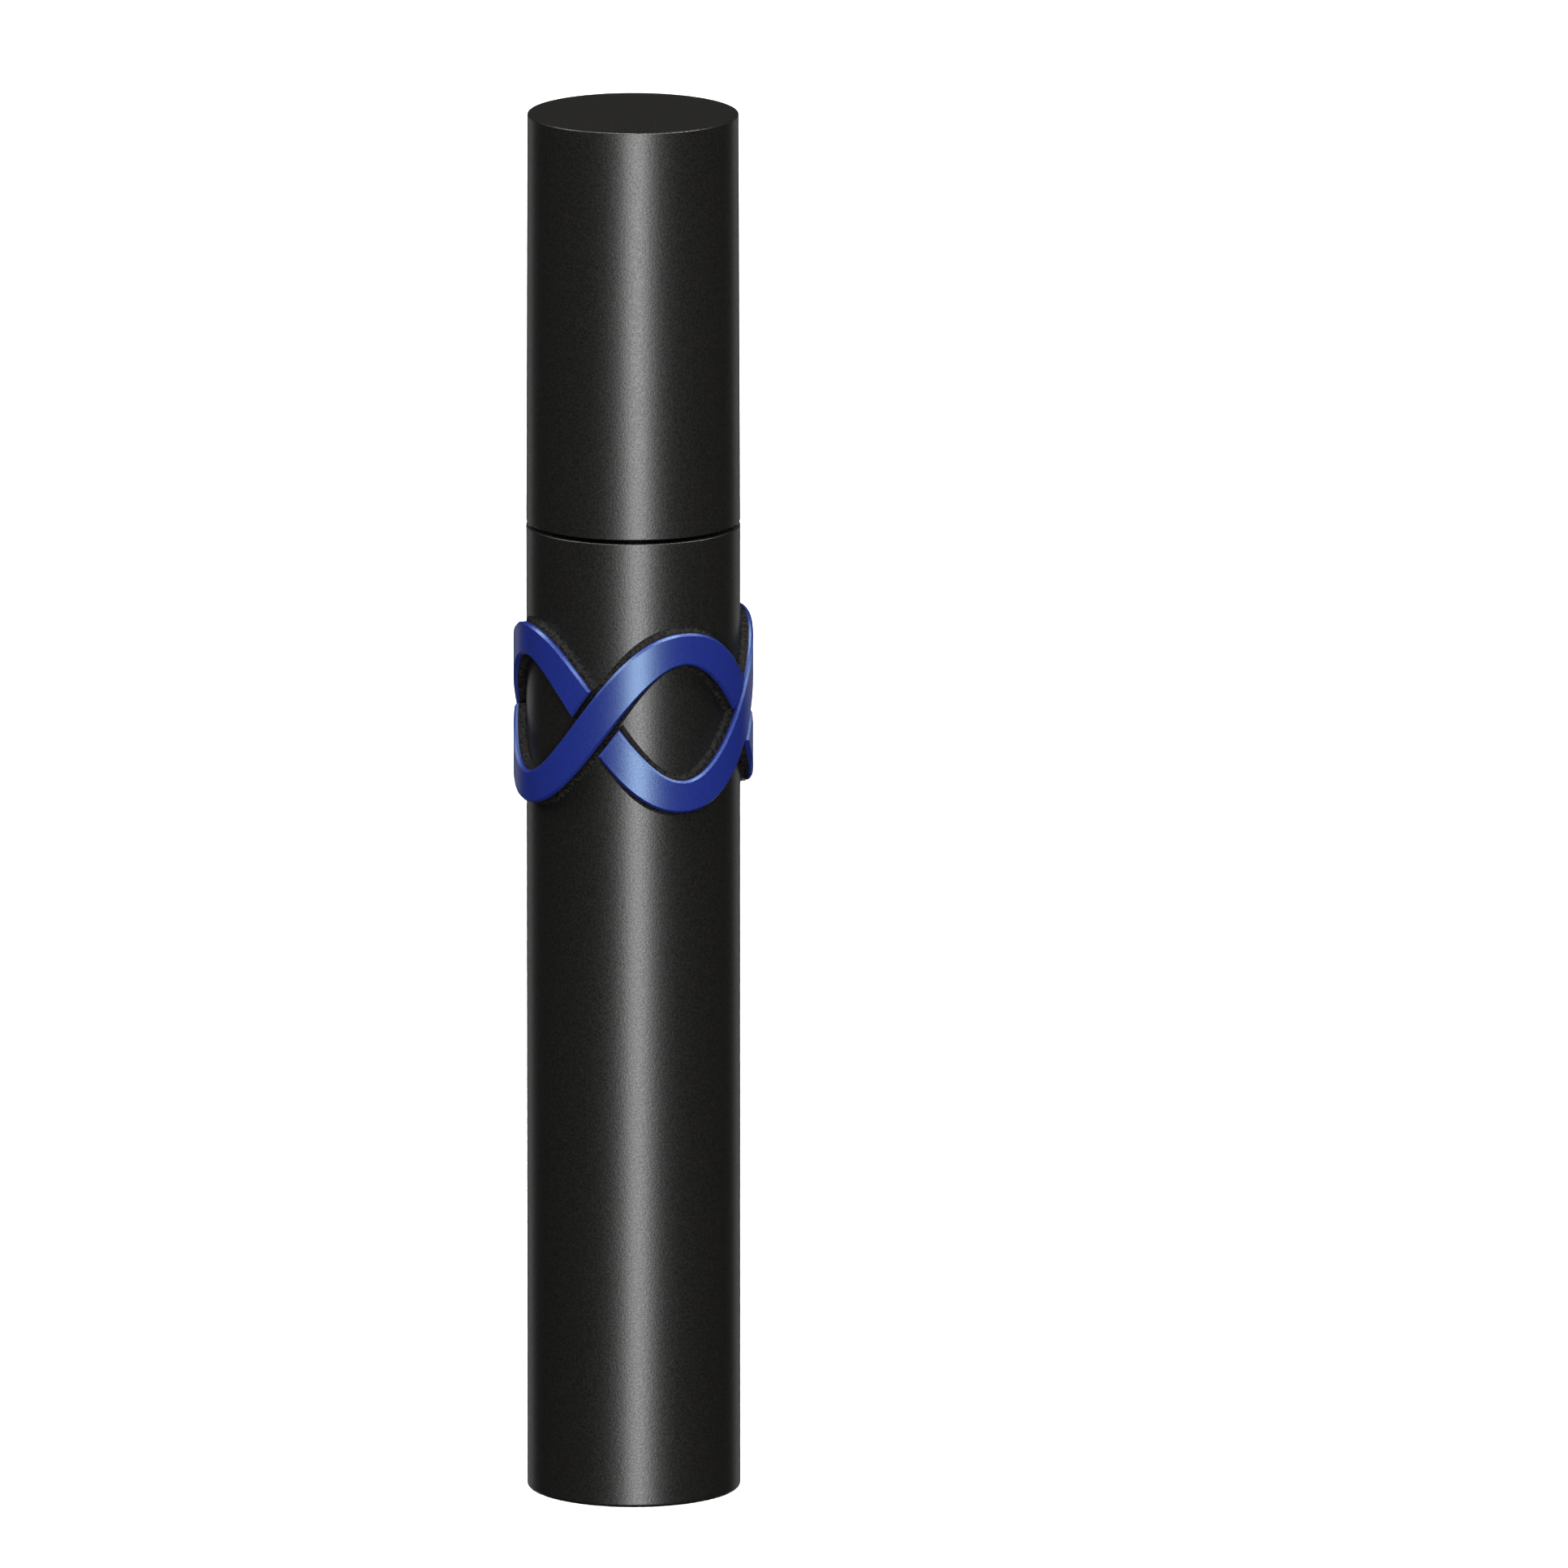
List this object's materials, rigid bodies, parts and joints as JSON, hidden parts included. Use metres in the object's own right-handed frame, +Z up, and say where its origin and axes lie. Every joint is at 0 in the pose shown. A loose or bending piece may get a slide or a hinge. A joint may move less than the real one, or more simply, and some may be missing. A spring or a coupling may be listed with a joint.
{
  "type": "mascara tube",
  "caption": "Closed round mascara tube with a screw cap that carries a stem and a twisted-wire brush, and a raised interlaced band around the body.",
  "frame": {"origin": "centre of the foot, on the surface that the tube stands on", "axes": "+Z up along the tube's axis, from the foot to the flat top of the cap; -Y is the front"},
  "size_m": [0.0224, 0.0224, 0.131],
  "materials": {
    "matte_black_shell": "matte black lacquered ABS, fine grain",
    "black_pp": "black polypropylene, satin moulded",
    "relief_rubber": "matte black overmoulded elastomer",
    "blue_facing": "satin metallic blue lacquer over moulded ABS",
    "soft_wiper": "dark grey soft polyethylene",
    "gasket_foam": "white foamed liner",
    "glossy_rod": "glossy black POM stem",
    "wire_steel": "stainless wire coated with black mascara",
    "nylon_fibre": "black nylon fibres coated with mascara",
    "weight_steel": "turned mild steel",
    "label_film": "silver polyester label, blank"
  },
  "bodies": {
    "bottle": {"outer_sleeve": "matte_black_shell", "base_plug": "black_pp", "base_label": "label_film", "inner_bottle": "black_pp", "neck_collar": "black_pp", "wiper": "soft_wiper", "relief_1": "relief_rubber", "facing_1": "blue_facing", "relief_2": "relief_rubber", "facing_2": "blue_facing", "relief_3": "relief_rubber", "facing_3": "blue_facing", "relief_4": "relief_rubber", "facing_4": "blue_facing"},
    "gasket": {"gasket": "gasket_foam"},
    "applicator": {"cap_shell": "matte_black_shell", "inner_cap": "black_pp", "cap_weight": "weight_steel", "rod": "glossy_rod", "brush_wire": "wire_steel", "bristles": "nylon_fibre"}
  },
  "joints": [
    {"name": "applicator_lift", "type": "slide", "parent": "bottle", "child": "gasket", "axis": [0, 0, 1], "range_m": [0, 0.102], "deforming": ["bristles"]},
    {"name": "cap_twist", "type": "hinge", "parent": "gasket", "child": "applicator", "pos_m": [0, 0, 0.1], "axis": [0, 0, 1], "continuous": true}
  ],
  "couplings": [
    {"joint": "cap_twist", "follows": "applicator_lift", "rad_per_m": 1047.2}
  ]
}
